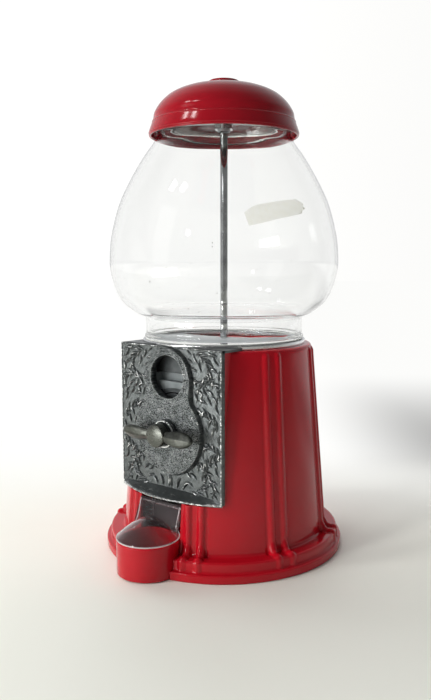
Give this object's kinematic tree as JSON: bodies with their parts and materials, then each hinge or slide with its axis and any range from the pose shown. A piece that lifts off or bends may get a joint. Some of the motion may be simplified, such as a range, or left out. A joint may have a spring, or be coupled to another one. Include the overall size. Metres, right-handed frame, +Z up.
{
  "type": "gumball machine",
  "caption": "Countertop coin gumball machine: glass globe and domed lid on a tapered ribbed cast base, with a pewter coin plate, turn handle, chute door and cup",
  "frame": {"origin": "the machine's vertical axis at floor level, under the middle of the round foot", "axes": "+Z up the axis towards the lid; -Y out of the front, through the face plate, chute and cup; +X to the right of someone facing the front"},
  "size_m": [0.2, 0.2183, 0.381],
  "materials": {
    "black_plastic": "matte",
    "brass": "satin",
    "chrome": "polished",
    "chute_plastic": "satin",
    "clear_plastic": "gloss",
    "glass": "polished",
    "grey_plastic": "satin",
    "ivory_plastic": "satin",
    "pewter": "antique satin",
    "red_enamel": "gloss",
    "red_plastic": "gloss",
    "rubber": "matte",
    "steel": "satin",
    "zinc": "satin"
  },
  "bodies": {
    "cabinet": {"base_housing": "red_enamel", "bottom_plate": "steel", "gumball_cup": "red_enamel", "cup_screws": "steel", "face_plate": "pewter", "handle_bushing": "zinc", "mech_housing": "zinc", "mech_screws": "steel", "coin_throat": "steel", "shaft_bracket": "steel", "pawl_pin": "steel", "coin_guide": "steel", "hopper_dish": "zinc", "thrust_washer": "steel", "gum_guard": "grey_plastic", "gum_chute": "chute_plastic", "door_hinge_pin": "steel", "globe_seat_ring": "zinc", "globe_gasket": "rubber", "glass_globe": "glass", "center_rod": "chrome", "rod_washer": "steel", "rod_nut": "steel"},
    "turn_handle": {"handle": "pewter", "handle_shaft": "steel", "handle_screw": "steel", "coin_wheel": "zinc", "ratchet_wheel": "steel", "drive_pinion": "brass"},
    "dispenser": {"gum_wheel": "red_plastic", "drive_sleeve": "steel", "crown_gear": "ivory_plastic"},
    "pawl": {"ratchet_pawl": "steel"},
    "flap": {"chute_door": "clear_plastic"},
    "lid_body": {"lid": "red_enamel", "lid_liner": "chrome"},
    "knob": {"lid_knob": "red_enamel", "liner_nut": "steel"},
    "bank_door": {"coin_door": "black_plastic"}
  },
  "joints": [
    {"name": "handle_turn", "type": "hinge", "parent": "cabinet", "child": "turn_handle", "pos_m": [0, -0.08, 0.104], "axis": [0, 1, 0], "continuous": true},
    {"name": "gum_wheel_turn", "type": "hinge", "parent": "cabinet", "child": "dispenser", "pos_m": [0, 0, 0.15], "axis": [0, 0, 1], "continuous": true},
    {"name": "pawl_pivot", "type": "hinge", "parent": "cabinet", "child": "pawl", "pos_m": [-0.018, -0.0424, 0.125], "axis": [0, -1, 0], "range_deg": [0, 12]},
    {"name": "chute_flap_swing", "type": "hinge", "parent": "cabinet", "child": "flap", "pos_m": [0, -0.0776, 0.0485], "axis": [-1, 0, 0], "range_deg": [0, 45]},
    {"name": "lid_lift", "type": "slide", "parent": "cabinet", "child": "lid_body", "axis": [0, 0, 1], "range_m": [0, 0.12]},
    {"name": "knob_turn", "type": "hinge", "parent": "lid_body", "child": "knob", "pos_m": [0, 0, 0.378], "axis": [0, 0, 1], "continuous": true},
    {"name": "bank_door_twist", "type": "hinge", "parent": "cabinet", "child": "bank_door", "pos_m": [-0.03, 0.038, 0.005], "axis": [0, 0, 1], "range_deg": [0, 80]}
  ],
  "couplings": [
    {"joint": "gum_wheel_turn", "follows": "handle_turn", "ratio": 0.33333}
  ]
}
